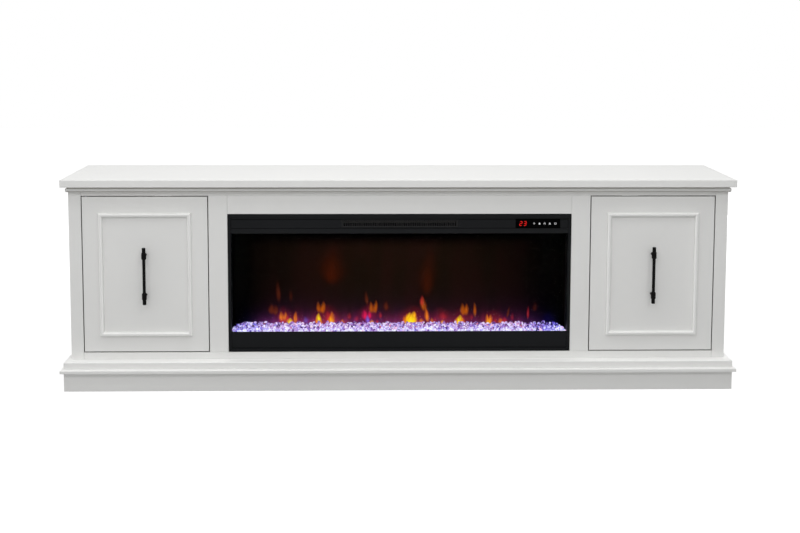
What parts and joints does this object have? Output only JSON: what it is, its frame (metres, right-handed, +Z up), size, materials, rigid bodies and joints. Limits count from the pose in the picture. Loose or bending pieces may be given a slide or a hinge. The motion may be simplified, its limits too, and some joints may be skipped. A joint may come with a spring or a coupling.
{
  "type": "fireplace tv stand",
  "caption": "Low, wide media console with a built-in electric fireplace between two cabinet doors, under an overhanging top.",
  "frame": {"origin": "middle of the footprint, on the floor", "axes": "+Z up, +X to the right as seen from the front, and the front with the doors and the fireplace faces -Y"},
  "size_m": [2.128, 0.416, 0.67],
  "materials": {
    "white_paint": "satin white paint",
    "inside_paint": "matte off-white paint",
    "raw_board": "unpainted board",
    "black_metal": "fine satin black powder coat",
    "black_hardware": "satin black",
    "steel": "plain zinc-plated",
    "dark_glass": "clear, faintly smoked",
    "crystal": "faceted, faintly violet",
    "smoked_screen": "smoked, half-mirrored",
    "black_plastic": "fine matte",
    "green_board": "solder mask"
  },
  "bodies": {
    "cabinet": {"top_slab": "white_paint", "cornice": "white_paint", "bottom_board": "white_paint", "side_panel_left": "white_paint", "side_panel_right": "white_paint", "partition_left": "inside_paint", "partition_right": "inside_paint", "shelf_left": "inside_paint", "shelf_right": "inside_paint", "back_panel_left": "raw_board", "back_panel_right": "raw_board", "back_panel_centre": "raw_board", "outer_stile_left": "white_paint", "outer_stile_right": "white_paint", "centre_stile_left": "white_paint", "centre_stile_right": "white_paint", "top_rail": "white_paint", "bottom_rail": "white_paint", "header_board": "white_paint", "plinth_front": "white_paint", "plinth_left": "white_paint", "plinth_right": "white_paint", "plinth_back": "white_paint", "base_trim": "white_paint", "hinge_pin_plate_left_top": "steel", "hinge_pin_plate_left_bottom": "steel", "hinge_pin_plate_right_top": "steel", "hinge_pin_plate_right_bottom": "steel", "catch_left": "black_plastic", "catch_right": "black_plastic", "fire_support": "raw_board", "fire_bezel": "black_metal", "heater_grille": "black_plastic", "display_window": "dark_glass", "control_board": "green_board", "firebox": "black_metal", "fire_glass": "dark_glass", "flame_screen": "smoked_screen", "ember_light_bar": "black_plastic", "ember_bed": "crystal", "flame_rotor_motor": "steel", "heater_case": "steel", "blower_motor": "steel", "heating_element": "steel", "rear_cover": "black_metal", "mains_inlet": "black_plastic"},
    "left_door": {"door_left": "white_paint", "door_left_moulding": "white_paint", "door_left_pull": "black_hardware", "door_left_hinge_leaf_top": "steel", "door_left_hinge_leaf_bottom": "steel", "door_left_strike": "steel"},
    "right_door": {"door_right": "white_paint", "door_right_moulding": "white_paint", "door_right_pull": "black_hardware", "door_right_hinge_leaf_top": "steel", "door_right_hinge_leaf_bottom": "steel", "door_right_strike": "steel"},
    "flame_rotor": {"flame_rotor": "steel"},
    "blower": {"blower_wheel": "black_plastic"}
  },
  "joints": [
    {"name": "left_door_hinge", "type": "hinge", "parent": "cabinet", "child": "left_door", "pos_m": [-0.983, -0.147, 0.366], "axis": [0, 0, -1], "range_deg": [0, 110]},
    {"name": "right_door_hinge", "type": "hinge", "parent": "cabinet", "child": "right_door", "pos_m": [0.983, -0.147, 0.366], "axis": [0, 0, 1], "range_deg": [0, 110]},
    {"name": "flame_rotor_spin", "type": "hinge", "parent": "cabinet", "child": "flame_rotor", "pos_m": [0, -0.0451, 0.197], "axis": [1, 0, 0], "continuous": true},
    {"name": "blower_spin", "type": "hinge", "parent": "cabinet", "child": "blower", "pos_m": [0, -0.0687, 0.52675], "axis": [1, 0, 0], "continuous": true}
  ]
}
